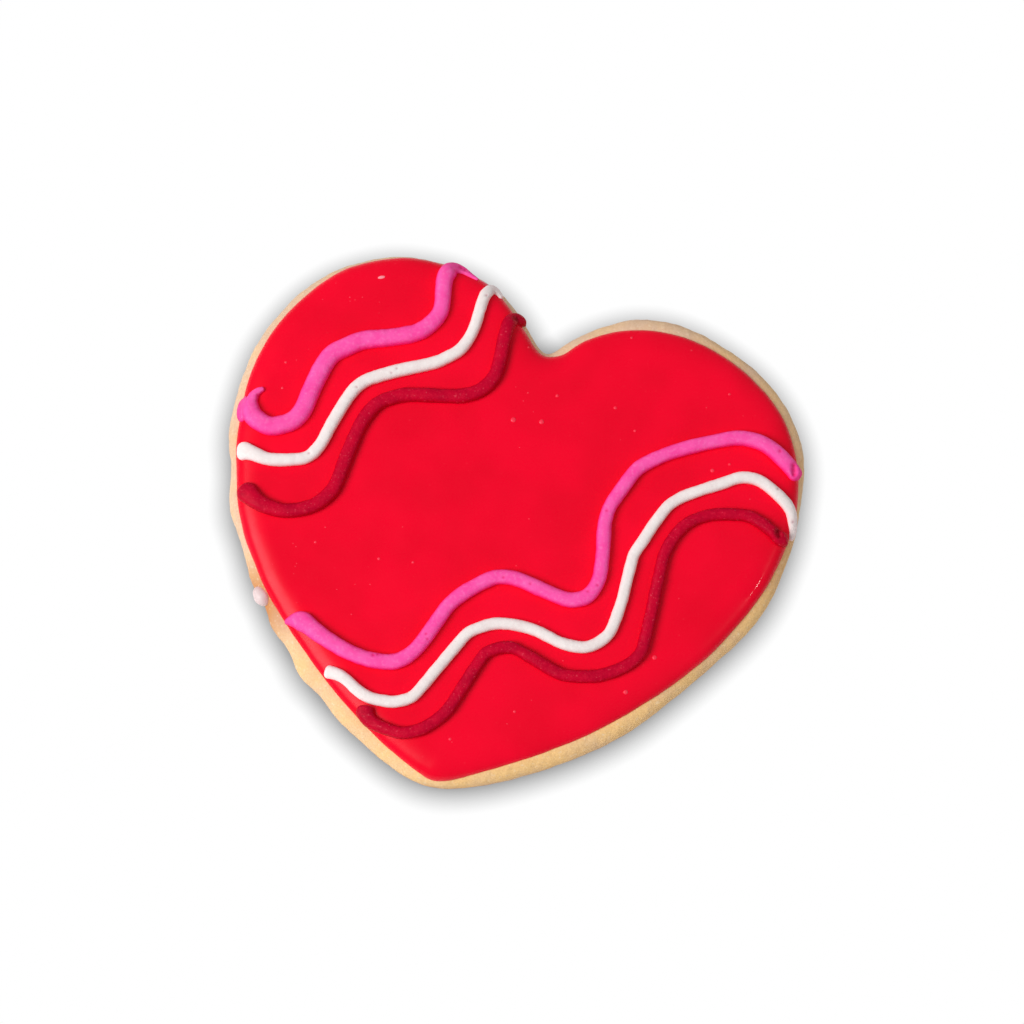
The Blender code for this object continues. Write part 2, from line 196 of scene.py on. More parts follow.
# The one spot on the icing's rim that set glassier than the rest, as (x, y, z, radius).
GLASSY_SPOT = (41.0, 2.3, 7.4, 3.2)

# The slumped lobe, the dragged film and the pale fleck, as (x, y, length, width, turn, rise).
PINK_LOBE = [(-42.7, 7.6, 4.2, 2.5, math.radians(100), 1.3)]
PINK_SMEAR = [
    (-12.6, 38.0, 4.6, 0.6, math.radians(-17), 0.14),
    (-14.9, 38.8, 1.5, 0.5, math.radians(-8), 0.25),
]
PALE_FLECK = [(-28.1, 33.8, 1.15, 0.5, math.radians(26), 0.1)]

rng = np.random.default_rng(7)
LATTICE = rng.uniform(-1, 1, (LATTICE_SIZE, LATTICE_SIZE, LATTICE_SIZE))


def flat_of(points):
    """The points with a height of 0 added."""
    return np.column_stack([points, np.zeros(len(points))])


def noise(points, size, seed=0):
    """Smooth value noise between -1 and 1, with features of about this size in millimetres."""
    at = points / size + 17.3 * seed
    cell = np.floor(at).astype(int)
    part = at - cell
    part = part * part * (3 - 2 * part)
    total = np.zeros(len(points))
    for dx in (0, 1):
        for dy in (0, 1):
            for dz in (0, 1):
                weight = (
                    np.where(dx, part[:, 0], 1 - part[:, 0])
                    * np.where(dy, part[:, 1], 1 - part[:, 1])
                    * np.where(dz, part[:, 2], 1 - part[:, 2])
                )
                index = (cell + (dx, dy, dz)) % LATTICE_SIZE
                total += weight * LATTICE[index[:, 0], index[:, 1], index[:, 2]]
    return total


def catmull_rom(points, closed, per_span=32):
    """A smooth curve through the points, as a dense array of samples."""
    points = np.array(points, float)
    if closed:
        points = np.vstack([points[-1], points, points[0], points[1]])
    else:
        first = 2 * points[0] - points[1]
        last = 2 * points[-1] - points[-2]
        points = np.vstack([first, points, last])
    t = (np.arange(per_span) / per_span)[:, None]
    samples = []
    for a, b, c, d in zip(points, points[1:], points[2:], points[3:]):
        samples.append(
            b
            + 0.5 * t * (c - a)
            + t**2 * (a - 2.5 * b + 2 * c - 0.5 * d)
            + 0.5 * t**3 * (3 * b - a - 3 * c + d)
        )
    if not closed:
        samples.append(points[-2:-1])
    return np.vstack(samples)


def spaced(samples, closed, count):
    """The same curve as count points at equal lengths along it."""
    if closed:
        samples = np.vstack([samples, samples[:1]])
    legs = np.linalg.norm(np.diff(samples[:, :2], axis=0), axis=1)
    length = np.concatenate([[0], np.cumsum(legs)])
    wanted = np.linspace(0, length[-1], count + 1 if closed else count)
    found = np.column_stack([np.interp(wanted, length, column) for column in samples.T])
    return found[:-1] if closed else found


def soften(values, reach, closed=False):
    """Values averaged over a bell of this many samples each way."""
    bell = np.exp(-0.5 * (np.arange(-2 * reach, 2 * reach + 1) / reach) ** 2)
    bell /= bell.sum()
    padded = np.pad(values, 2 * reach, mode="wrap" if closed else "edge")
    return np.convolve(padded, bell, mode="valid")


class Outline:
    """A closed edge seen from above, with the distance inside it of any point."""

    def __init__(self, points, wobble, size):
        edge = spaced(catmull_rom(points, True), True, EDGE_SAMPLES)
        edge = np.column_stack([soften(column, 4, True) for column in edge.T])
        spoke = edge - CENTRE
        spoke /= np.linalg.norm(spoke, axis=1, keepdims=True)
        flat = flat_of(edge)
        push = noise(flat, size, 3) + 0.5 * noise(flat, size / 2.3, 4)
        edge = edge + spoke * (wobble * push)[:, None]
        self.edge = edge
        self.tree = KDTree(len(edge))
        for i, (x, y) in enumerate(edge):
            self.tree.insert((x, y, 0), i)
        self.tree.balance()
        spokes = edge - CENTRE
        angles = np.arctan2(spokes[:, 1], spokes[:, 0])
        order = np.argsort(angles)
        self.angles = angles[order]
        self.radii = np.linalg.norm(spokes, axis=1)[order]

    def around(self, count):
        """The edge as this many evenly spaced points."""
        return spaced(self.edge, True, count)

    def inside(self, points):
        """Distance from the edge: positive inside it, negative outside."""
        nearest = np.array([self.tree.find((x, y, 0))[1] for x, y in points])
        best = np.full(len(points), np.inf)
        for step in (-1, 0):
            a = self.edge[(nearest + step) % len(self.edge)]
            b = self.edge[(nearest + step + 1) % len(self.edge)]
            leg = b - a
            part = ((points - a) * leg).sum(1) / (leg * leg).sum(1)
            near = a + leg * np.clip(part, 0, 1)[:, None]
            best = np.minimum(best, np.linalg.norm(points - near, axis=1))
        spokes = points - CENTRE
        angle = np.arctan2(spokes[:, 1], spokes[:, 0])
        reach = np.interp(angle, self.angles, self.radii, period=2 * math.pi)
        return np.where(np.linalg.norm(spokes, axis=1) <= reach, best, -best)


def towards_centre(ring, distance):
    """The ring with every point moved this far towards the heart's middle."""
    spokes = ring - CENTRE
    reach = np.linalg.norm(spokes, axis=1, keepdims=True)
    return CENTRE + spokes * (1 - distance / reach)


def rounded(depth, width):
    """Share of a quarter ellipse's height at a depth inside its foot."""
    part = np.clip(depth / width, 0, 1)
    return np.sqrt(1 - (1 - part) ** 2)


BISCUIT = Outline(BISCUIT_OUTLINE, wobble=0.05, size=3.0)
ICING = Outline(ICING_OUTLINE, wobble=0.05, size=2.5)


def biscuit_height(points):
    """Height of the biscuit's upper face, which falls away over its rounded shoulder."""
    depth = BISCUIT.inside(points)
    return BISCUIT_THICKNESS - SHOULDER_RISE * (1 - rounded(depth, SHOULDER_WIDTH))


def icing_height(points):
    """Height of the icing's surface, and of the biscuit where there is none."""
    depth = ICING.inside(points)
    base = biscuit_height(points)
    flat = flat_of(points)
    swell = 0.035 * noise(flat, 11, 5) + 0.012 * noise(flat, 4, 6)
    top = ICING_TOP + swell
    return base + (top - base) * rounded(depth, ICING_RIM_WIDTH) - 0.02


def add_piece(name, points, faces, material):
    """One piece of the cookie's body, from points in millimetres."""
    mesh = bpy.data.meshes.new(name)
    mesh.from_pydata((points * MM).tolist(), [], faces)
    mesh.shade_smooth()
    mesh.materials.append(material)
    made = bpy.data.objects.new(name, mesh)
    bpy.context.scene.collection.objects.link(made)
    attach(made, "root")
    return made


def make_mesh(name, rings, material, node):
    """A closed body from rings of equal counts that takes the place of a CAD node."""
    count = len(rings[0])
    around = np.arange(count)
    beyond = (around + 1) % count
    faces = []
    for k in range(len(rings) - 1):
        low = k * count
        quads = np.column_stack(
            [low + around, low + beyond, low + count + beyond, low + count + around]
        )
        faces.extend(map(tuple, quads.tolist()))
    first = count * len(rings)
    last = first + 1
    low = first - count
    faces.extend((int(b), int(a), first) for a, b in zip(around, beyond))
    faces.extend((int(low + a), int(low + b), last) for a, b in zip(around, beyond))
    points = np.vstack([*rings, rings[0].mean(0), rings[-1].mean(0)])
    made = add_piece(name, points, faces, material)
    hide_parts(node)
    return made


# ---------------------------------------------------------------- materials


def srgb(r, g, b):
    """Linear colour from sRGB written 0 to 255."""
    linear = []
    for value in (r, g, b):
        value /= 255
        linear.append(value / 12.92 if value <= 0.04045 else ((value + 0.055) / 1.055) ** 2.4)
    return (*linear, 1)


class Shader:
    """A Principled material with short calls for the nodes it needs."""

    def __init__(self, name, roughness, specular):
        self.material = bpy.data.materials.new(name)
        self.material.use_nodes = True
        self.tree = self.material.node_tree
        self.shader = self.tree.nodes["Principled BSDF"]
        self.shader.inputs["Roughness"].default_value = roughness
        self.shader.inputs["Specular IOR Level"].default_value = specular
        self.place = self.tree.nodes.new("ShaderNodeTexCoord").outputs["Object"]

    def link(self, value, socket):
        self.tree.links.new(value, socket)

    def noise(self, size, detail, roughness=0.5):
        """Noise with features of this size in millimetres."""
        node = self.tree.nodes.new("ShaderNodeTexNoise")
        node.inputs["Scale"].default_value = 1 / (size * MILLIMETRE)
        node.inputs["Detail"].default_value = detail
        node.inputs["Roughness"].default_value = roughness
        self.link(self.place, node.inputs["Vector"])
        return node.outputs["Fac"]

    def voronoi(self, size):
        """Distance to the nearest of points strewn about this many millimetres apart."""
        node = self.tree.nodes.new("ShaderNodeTexVoronoi")
        node.inputs["Scale"].default_value = 1 / (size * MILLIMETRE)
        self.link(self.place, node.inputs["Vector"])
        return node.outputs["Distance"]

    def part_of(self, vector, axis):
        """One part of a vector: 0, 1 or 2 for x, y or z."""
        node = self.tree.nodes.new("ShaderNodeSeparateXYZ")
        self.link(vector, node.inputs[0])
        return node.outputs[axis]

    def height(self):
        """Height above the plane that the cookie lies on, in metres."""
        return self.part_of(self.place, 2)

    def upness(self):
        """1 where the surface faces up, 0 where it is upright."""
        return self.part_of(self.tree.nodes.new("ShaderNodeNewGeometry").outputs["Normal"], 2)

    def near(self, x, y, z, radius):
        """1 at this place in millimetres, falling to 0 at the radius from it."""
        node = self.tree.nodes.new("ShaderNodeVectorMath")
        node.operation = "DISTANCE"
        self.link(self.place, node.inputs[0])
        node.inputs[1].default_value = (x * MILLIMETRE, y * MILLIMETRE, z * MILLIMETRE)
        return self.spread(node.outputs["Value"], 0, radius * MILLIMETRE, 1, 0)

    def attribute(self, name):
        """A value that the mesh keeps at each point."""
        node = self.tree.nodes.new("ShaderNodeAttribute")
        node.attribute_name = name
        return node.outputs["Fac"]

    def spread(self, value, low, high, to_low=0.0, to_high=1.0):
        """The value mapped from low..high to to_low..to_high, and held to it."""
        node = self.tree.nodes.new("ShaderNodeMapRange")
        node.clamp = True
        self.link(value, node.inputs["Value"])
        for name, number in zip(
            ("From Min", "From Max", "To Min", "To Max"), (low, high, to_low, to_high)
        ):
            node.inputs[name].default_value = number
        return node.outputs[0]

    def math(self, kind, a, b):
        node = self.tree.nodes.new("ShaderNodeMath")
        node.operation = kind
        for socket, value in zip(node.inputs, (a, b)):
            if isinstance(value, (int, float)):
                socket.default_value = value
            else:
                self.link(value, socket)
        return node.outputs[0]

    def mix(self, share, a, b):
        node = self.tree.nodes.new("ShaderNodeMix")
        node.data_type = "RGBA"
        for socket, value in ((node.inputs[0], share), (node.inputs[6], a), (node.inputs[7], b)):
            if isinstance(value, (int, float, tuple)):
                socket.default_value = value
            else:
                self.link(value, socket)
        return node.outputs[2]

    def colour(self, value):
        self.link(value, self.shader.inputs["Base Color"])

    def bump(self, value, depth, strength):
        """Bump of this depth in millimetres."""
        node = self.tree.nodes.new("ShaderNodeBump")
        node.inputs["Strength"].default_value = strength
        node.inputs["Distance"].default_value = depth * MILLIMETRE
        self.link(value, node.inputs["Height"])
        self.link(node.outputs[0], self.shader.inputs["Normal"])


def biscuit_material():
    """Baked crumb, with browning, grain and pale crumbs."""
    s = Shader("baked_biscuit", 0.85, 0.2)
    pale = srgb(234, 200, 170)
    gold_and_painted_light = srgb(255, 210, 144)
    brown = srgb(206, 138, 84)
    # Paler towards -X and +Y, and more golden and brighter towards +X and -Y, with patches: partly
    # the bake's tone, partly painted light that evens out the key lamp's shading across the
    # biscuit.
    across = s.math("SUBTRACT", s.part_of(s.place, 0), s.part_of(s.place, 1))
    gradient = s.spread(across, -40 * MILLIMETRE, 60 * MILLIMETRE)
    golden_and_painted_light = s.math("ADD", gradient, s.spread(s.noise(5, 3), 0.3, 0.7, -0.35, 0.35))
    base = s.mix(s.spread(golden_and_painted_light, 0, 1), pale, gold_and_painted_light)
    # Browner near the underside and at the places listed.
    low = s.spread(s.height(), 0.2 * MILLIMETRE, 3.6 * MILLIMETRE, 1.0, 0.0)
    toasted = s.math("MULTIPLY", low, s.spread(s.noise(3.5, 3), 0.25, 0.65, 0.35, 0.9))
    for x, y, radius, strength in BROWNED:
        spot = s.math("MULTIPLY", s.near(x, y, BROWNED_HEIGHT, radius), strength)
        toasted = s.math("MAXIMUM", toasted, spot)
    base = s.mix(toasted, base, brown)
    grain = s.spread(s.noise(0.35, 2, 0.6), 0.3, 0.7)
    base = s.mix(s.math("MULTIPLY", grain, 0.3), base, srgb(206, 152, 100))
    crumbs = s.spread(s.noise(0.5, 1), 0.6, 0.75)
    base = s.mix(s.math("MULTIPLY", crumbs, 0.35), base, srgb(253, 234, 205))
    s.colour(base)
    s.bump(s.noise(0.3, 3, 0.65), 0.12, 0.8)
    return s.material


def red_icing_material():
    """Smooth set icing with faint mottling and flecks."""
    s = Shader("red_icing", 0.28, 0.12)
    deep = srgb(236, 0, 38)
    bright = srgb(246, 0, 42)
    base = s.mix(s.spread(s.noise(9, 2), 0.35, 0.65), deep, bright)
    fleck = s.spread(s.noise(0.5, 1), 0.74, 0.82, 0.0, 0.25)
    base = s.mix(fleck, base, srgb(255, 60, 80))
    s.colour(base)
    rough = s.spread(s.noise(3, 2), 0.3, 0.7, 0.25, 0.31)
    glassy = s.spread(s.near(*GLASSY_SPOT), 0.05, 0.45, 1.0, 0.22)
    s.link(s.math("MULTIPLY", rough, glassy), s.shader.inputs["Roughness"])
    s.bump(s.noise(0.7, 2), 0.009, 0.7)
    return s.material


def piped_material(name, main, shade, light, side, pit_shade, roughness, specular, glint, grit):
    """Set piping icing: a main colour, steeper sides with painted shade and painted red bounce
    light, painted glints, pits with painted shade.
    """
    s = Shader(name, roughness, specular)
    base = s.mix(s.spread(s.noise(2.5, 3), 0.35, 0.7), main, shade)
    base = s.mix(s.spread(s.noise(0.5, 2), 0.5, 0.72, 0.0, 0.45), base, light)
    # Painted shade and painted bounce light from the red icing: the steeper sides take the side
    # colour.
    base = s.mix(s.spread(s.upness(), 0.25, 0.85, 0.85, 0.0), base, side)
    # Painted shade in pits: spots strewn at random and the pressed pits take the pit colour.
    pits = s.spread(s.voronoi(1.9), 0.03, 0.06, 1.0, 0.0)
    base = s.mix(s.math("MULTIPLY", pits, 0.35), base, pit_shade)
    base = s.mix(s.math("MULTIPLY", s.attribute("pit_shade"), 0.8), base, pit_shade)
    # Painted glints: tiny pale red spots that stand in for the lamp catching the crest's grit.
    base = s.mix(s.spread(s.noise(0.32, 1), 0.66, 0.76, 0.0, glint), base, srgb(246, 92, 112))
    s.colour(base)
    s.bump(s.noise(0.25, 2, 0.6), grit, 0.7)
    return s.material


def drop_material():
    """Pale icing, faintly pink."""
    s = Shader("icing_drop", 0.45, 0.4)
    base = s.mix(s.spread(s.noise(1.2, 2), 0.35, 0.7), srgb(230, 211, 210), srgb(224, 196, 196))
    s.colour(base)
    s.bump(s.noise(0.4, 2), 0.02, 0.5)
    return s.material


def plain_material(name, light, deep):
    """Icing mottled between two colours."""
    s = Shader(name, 0.35, 0.3)
    s.colour(s.mix(s.noise(0.4, 1), light, deep))
    return s.material


# ---------------------------------------------------------------- pieces

# How much further a step towards the middle goes than one straight in from the edge.
BISCUIT_SLANT = 1.05
ICING_SLANT = 1.08

# The biscuit's rings, from the middle of its underside up to under the icing: the foot is
# (inset, height).
UNDERSIDE_HEIGHT = 0.03
UNDERSIDE_SHARES = (0.02, 0.1, 0.2, 0.3, 0.4, 0.5, 0.6, 0.7, 0.8, 0.87, 0.92)
FOOT = ((2.6, 0.03), (1.5, 0.04), (0.9, 0.08), (0.5, 0.22), (0.25, 0.5))
WALL_START = 0.8
TOP_INSETS = (3.6, 4.6, 6)

# The icing's foot, hidden in the biscuit.
FOOT_INSETS = (3.0, 1.2, 0.35)
ICING_SUNK = 0.35

# A piped line's section: its turns from one foot over the crest to the other, how square it
# is, how deep its foot is sunk in the icing, and the least half width that an end rounds over.
SECTION_TURNS = np.radians(np.linspace(-32, 212, 30))
SIDE_POWER = 0.8
CREST_POWER = 0.9
LINE_SUNK = 0.25
SMALLEST_HALF = 0.2

# The drop: half its length, half its width and its rise; its tilt in degrees; the height of its
# middle, how deep it is sunk, and how many edge samples each way show the edge's direction.
DROP_SIZES = (1.6, 1.2, 1.25)
DROP_TILT = 50
DROP_HEIGHT = 5.35
DROP_SUNK = 0.45
DROP_REACH = 12

# The specks: their usual size, how much it varies, and how far in from the icing's edge they stay.
SPECK_SIZE = 0.17
SPECK_VARIATION = 0.03
SPECK_MARGIN = 1.5


def level_ring(ring, height):
    """A ring seen from above, put at one height."""
    return np.column_stack([ring, np.full(len(ring), height)])


def crumbled(ring, outward):
    """A ring of the biscuit with its wall pushed about by the crumb and its underside uneven."""
    grain = 0.05 * noise(ring, 1.7, 1) + 0.035 * noise(ring, 0.75, 2)
    grain = grain + 0.02 * noise(ring, 0.38, 9)
    lumps = 0.06 * noise(ring, 4.5, 8)
    moved = ring.copy()
    wall = np.clip(ring[:, 2] / 0.6, 0, 1) * (ring[:, 2] < BISCUIT_THICKNESS - 0.01)
    moved[:, :2] += outward * ((grain + lumps - 0.06) * wall)[:, None]
    moved[:, 2] += 0.6 * grain * wall
    under = ring[:, 2] < 0.2
    moved[under, 2] = np.clip(0.05 + 0.9 * (grain + 0.5 * lumps)[under], 0, 0.25)
    return moved


def make_biscuit(material):
    """The baked slab: its underside, rounded foot, wall, rounded shoulder and top."""
    edge = BISCUIT.around(BISCUIT_AROUND)
    outward = edge - towards_centre(edge, 1)
    rings = []
    for share in UNDERSIDE_SHARES:
        rings.append(level_ring(CENTRE + (edge - CENTRE) * share, UNDERSIDE_HEIGHT))
    for inset, height in FOOT:
        rings.append(level_ring(towards_centre(edge, inset), height))
    wall_top = BISCUIT_THICKNESS - SHOULDER_RISE
    for height in np.linspace(WALL_START, wall_top, 12):
        part = (height - WALL_START) / (wall_top - WALL_START)
        rings.append(level_ring(towards_centre(edge, 0.1 * (1 - part) ** 2), height))
    for turn in np.radians(np.linspace(6, 84, 16)):
        inset = SHOULDER_WIDTH * (1 - math.cos(turn)) + 0.02
        ring = towards_centre(edge, inset * BISCUIT_SLANT)
        rings.append(np.column_stack([ring, biscuit_height(ring)]))
    for inset in TOP_INSETS:
        rings.append(level_ring(towards_centre(edge, inset), BISCUIT_THICKNESS))
    rough = [crumbled(ring, outward) for ring in rings]
    make_mesh("cookie_biscuit", rough, material, "biscuit")


def make_icing(material):
    """The icing: its foot sunk in the biscuit, its rounded rim and its top."""
    edge = ICING.around(ICING_AROUND)
    rings = []
    for inset in FOOT_INSETS:
        ring = towards_centre(edge, inset)
        rings.append(np.column_stack([ring, biscuit_height(ring) - ICING_SUNK]))
    insets = list(ICING_RIM_WIDTH * (1 - np.cos(np.radians(np.linspace(0, 90, 30)))))
    insets += list(np.linspace(4.4, 9, 10))
    for inset in insets:
        ring = towards_centre(edge, inset * ICING_SLANT)
        rings.append(np.column_stack([ring, icing_height(ring)]))
    for share in np.linspace(0.96, 0.04, 24):
        inner = CENTRE + (ring - CENTRE) * share
        rings.append(np.column_stack([inner, icing_height(inner)]))
    make_mesh("cookie_red_icing", rings, material, "red_icing")


def signed_power(value, power):
    """The value's size to a power, with its sign kept; below 1 it squares off a circle."""
    return math.copysign(abs(value) ** power, value)


def rounded_ends(width):
    """Widths at the sections of a line, drawn in to a round end at both ends."""
    travelled = np.arange(len(width)) * LINE_STEP
    for run in (travelled, travelled[::-1]):
        part = np.clip(run / np.maximum(width / 2, SMALLEST_HALF), 0, 1)
        width = width * np.sqrt(np.clip(1 - (1 - part) ** 2, 0.02, 1))
    return width


def press_pits(grid, pits):
    """Presses the pits into a line's surface, and gives each point's share of a pit, where the
    material puts its painted shade.
    """
    pit_shade = np.zeros(grid.shape[:2])
    for x, y, radius, depth in pits:
        away = np.linalg.norm(grid[:, :, :2] - (x, y), axis=2)
        share = np.exp(-((away / radius) ** 2))
        grid[:, :, 2] -= depth * share
        pit_shade = np.maximum(pit_shade, share)
    return pit_shade


def make_line(name, points, rise, material, node, pits, rough):
    """A piped line that lies on the icing, droops over its edge and has rounded ends."""
    samples = catmull_rom(points, False)
    length = np.linalg.norm(np.diff(samples[:, :2], axis=0), axis=1).sum()
    stations = spaced(samples, False, round(length / LINE_STEP) + 1)
    middle = np.column_stack([soften(column, 4) for column in stations[:, :2].T])
    flat = flat_of(middle)
    ahead = np.gradient(middle, axis=0)
    ahead /= np.linalg.norm(ahead, axis=1, keepdims=True)
    across = np.column_stack([-ahead[:, 1], ahead[:, 0]])
    middle = middle + across * (0.05 * noise(flat, 2.5, 11))[:, None]
    width = stations[:, 2] * (1 + 0.04 * noise(flat, 2.2, 12) + 0.02 * noise(flat, 0.9, 13))
    width = rounded_ends(width)
    tall = rise * np.minimum(1, width / np.median(width)) ** 0.8
    tall = tall * (1 + 0.05 * noise(flat, 3, 14))
    half_height = 0.5 * np.minimum(width, np.median(width)) * 0.92
    columns = []
    ground_middle = soften(icing_height(middle), 5)
    for turn in SECTION_TURNS:
        shift = 0.5 * width * signed_power(math.cos(turn), SIDE_POWER)
        at = middle + across * shift[:, None]
        ground = soften(np.minimum(icing_height(at), ground_middle + 0.05), 3)
        height = tall - half_height * (1 - signed_power(math.sin(turn), CREST_POWER))
        foot = ground - LINE_SUNK
        z = np.maximum(ground_middle * 0.75 + ground * 0.25 + height, foot)
        if math.sin(turn) < -0.3:
            z = foot
        columns.append(np.column_stack([at, z]))
    grid = np.array(columns)
    cloud = grid.reshape(-1, 3)
    grit = rough * (0.022 * noise(cloud, 0.8, 15) + 0.014 * noise(cloud, 0.33, 16))
    sideways = flat_of(across)
    for column, push, turn in zip(grid, grit.reshape(grid.shape[:2]), SECTION_TURNS):
        column += sideways * (push * math.cos(turn))[:, None]
        column[:, 2] += push * max(math.sin(turn), 0)
    pit_shade = press_pits(grid, pits)
    rings = [grid[:, i] for i in range(grid.shape[1])]
    made = make_mesh(name, rings, material, node)
    # The mesh ends with the two points that close the line's ends, which have no pit.
    layer = made.data.attributes.new("pit_shade", "FLOAT", "POINT")
    layer.data.foreach_set("value", np.concatenate([pit_shade.T.reshape(-1), (0, 0)]))


def make_domes(name, domes, material):
    """Small flattened domes as (x, y, length, width, turn, rise), joined in one piece."""
    around, levels = 20, np.radians((-20, 0, 16, 32, 48, 64, 78))
    points, faces = [], []
    for x, y, long, wide, turn, rise in domes:
        start = len(points)
        for level in levels:
            for a in np.linspace(0, 2 * math.pi, around, endpoint=False):
                u = long / 2 * math.cos(level) * math.cos(a)
                v = wide / 2 * math.cos(level) * math.sin(a)
                px = x + u * math.cos(turn) - v * math.sin(turn)
                py = y + u * math.sin(turn) + v * math.cos(turn)
                points.append((px, py, rise * math.sin(level)))
        points.append((x, y, rise))
        top = len(points) - 1
        for i in range(around):
            j = (i + 1) % around
            for k in range(len(levels) - 1):
                low = start + around * k
                faces.append((low + i, low + j, low + around + j, low + around + i))
            faces.append((top - around + i, top - around + j, top))
        faces.append(tuple(start + i for i in reversed(range(around))))
    cloud = np.array(points)
    cloud[:, 2] += icing_height(cloud[:, :2])
    add_piece(name, cloud, faces, material)


def make_drop(material):
    """The stray drop of icing that dried on the biscuit's shoulder."""
    low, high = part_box("icing_drop")
    middle = (np.array(low) + np.array(high)) / 2 / MM
    nearest = int(np.argmin(np.linalg.norm(BISCUIT.edge - middle[:2], axis=1)))
    beyond = BISCUIT.edge[(nearest + DROP_REACH) % EDGE_SAMPLES]
    along = beyond - BISCUIT.edge[nearest - DROP_REACH]
    along = np.array((*along, 0)) / np.linalg.norm(along)
    out = np.array((-along[1], along[0], 0))
    tilt = math.radians(DROP_TILT)
    normal = out * math.sin(tilt) + np.array((0, 0, math.cos(tilt)))
    side = np.cross(normal, along)
    base = np.array((*BISCUIT.edge[nearest], DROP_HEIGHT)) - out * DROP_SUNK
    half_length, half_width, rise = DROP_SIZES
    rings = []
    for level in np.radians((-30, -12, 0, 12, 25, 38, 50, 61, 71, 80, 86)):
        ring = []
        for turn in np.linspace(0, 2 * math.pi, 48, endpoint=False):
            wave = 1 + 0.06 * math.sin(2 * turn + 1)
            u = half_length * math.cos(level) * math.cos(turn) * wave
            wave = 1 + 0.08 * math.cos(3 * turn)
            v = half_width * math.cos(level) * math.sin(turn) * wave
            ring.append(base + along * u + side * v + normal * (rise * math.sin(level)))
        rings.append(np.array(ring))
    make_mesh("cookie_icing_drop", rings, material, "icing_drop")


def bubbles():
    """The icing's bubbles as flat domes."""
    return [(x, y, 2 * r, 2 * r, 0, 0.35 * r) for x, y, r in BUBBLES]


def specks():
    """Random specks in each cluster as flatter domes, all well inside the icing's edge."""
    found = []
    for x, y, spread, count in SPECKS:
        spreads = (spread, spread, SPECK_VARIATION)
        for sx, sy, size in rng.normal((x, y, SPECK_SIZE), spreads, (count, 3)):
            if ICING.inside(np.array([(sx, sy)]))[0] > SPECK_MARGIN:
                size = min(max(size, 0.1), 0.26)
                found.append((sx, sy, size, size, 0, 0.2 * size))
    return found


make_biscuit(biscuit_material())
make_icing(red_icing_material())
# Each piping's side colour is painted shade and painted bounce light from the red icing, its pit
# colour is painted shade, and its glint share is painted glints.
pink = piped_material(
    "pink_piping",
    main=srgb(255, 90, 174),
    shade=srgb(254, 72, 162),
    light=srgb(255, 122, 190),
    side=srgb(255, 22, 132),
    pit_shade=srgb(236, 0, 100),
    roughness=0.55,
    specular=0.15,
    glint=0.15,
    grit=0.045,
)
white = piped_material(
    "white_piping",
    main=srgb(243, 232, 230),
    shade=srgb(238, 224, 222),
    light=srgb(250, 245, 242),
    side=srgb(254, 226, 228),
    pit_shade=srgb(196, 140, 150),
    roughness=0.6,
    specular=0.2,
    glint=0.0,
    grit=0.04,
)
dark = piped_material(
    "dark_piping",
    main=srgb(200, 0, 44),
    shade=srgb(182, 0, 42),
    light=srgb(222, 20, 58),
    side=srgb(196, 0, 30),
    pit_shade=srgb(120, 0, 12),
    roughness=0.42,
    specular=0.06,
    glint=0.35,
    grit=0.09,
)
for part, points, rise, material, pits, rough in (
    ("pink_line_upper", PINK_UPPER, 1.65, pink, PINK_UPPER_PITS, 1.2),
    ("white_line_upper", WHITE_UPPER, 1.4, white, WHITE_UPPER_PITS, 1.2),
    ("dark_line_upper", DARK_UPPER, 1.5, dark, DARK_UPPER_PITS, 1.8),
    ("pink_line_lower", PINK_LOWER, 1.6, pink, PINK_LOWER_PITS, 1.2),
    ("white_line_lower", WHITE_LOWER, 1.35, white, WHITE_LOWER_PITS, 1.2),
    ("dark_line_lower", DARK_LOWER, 1.45, dark, DARK_LOWER_PITS, 1.8),
):
    make_line("cookie_" + part, points, rise, material, part, pits, rough)
make_drop(drop_material())
# The bubbles and specks are real domes, painted lighter than the icing around them: a painted
# highlight on each.
bubble_with_painted_highlight = plain_material("icing_bubbles", srgb(255, 66, 90), srgb(250, 26, 60))
make_domes("cookie_icing_bubbles", bubbles(), bubble_with_painted_highlight)
make_domes("cookie_icing_specks", specks(), bubble_with_painted_highlight)
make_domes("cookie_pink_lobe", PINK_LOBE, pink)
smear = plain_material("pink_smear", srgb(250, 70, 120), srgb(240, 30, 80))
make_domes("cookie_pink_smear", PINK_SMEAR, smear)
fleck = plain_material("pale_fleck", srgb(255, 158, 166), srgb(250, 130, 145))
make_domes("cookie_pale_fleck", PALE_FLECK, fleck)


# ---------------------------------------------------------------- studio

# The camera looks down steeply from the heart's point's side: degrees, metres, millimetres.
CAMERA_AZIMUTH = 16
CAMERA_ELEVATION = 78
CAMERA_AIM = Vector((0.0018, 0.0040, 0.0040))
CAMERA_DISTANCE = 0.37647
CAMERA_LENS = 85
CAMERA_SENSOR = 36

LAMP_DISTANCE = 0.9
LAMP_AIM = (0, 0, 0.004)
WORLD_LIGHT = 0.39

# The floor's shadow: how far it reaches, which way it leans, how open the floor is where the
# shadow is darkest, and how bright it is there.
FLOOR_HALF = 3.0
SHADOW_REACH = 0.0042
SHADOW_LEAN = Vector((-0.16, 0.4, 0.9)).normalized()
SHADOW_OPENNESS = 0.45
SHADOW_DARKEST = 0.34


def look_at(thing, target):
    """Turns a camera or lamp towards a place."""
    thing.rotation_euler = (Vector(target) - thing.location).to_track_quat("-Z", "Y").to_euler()


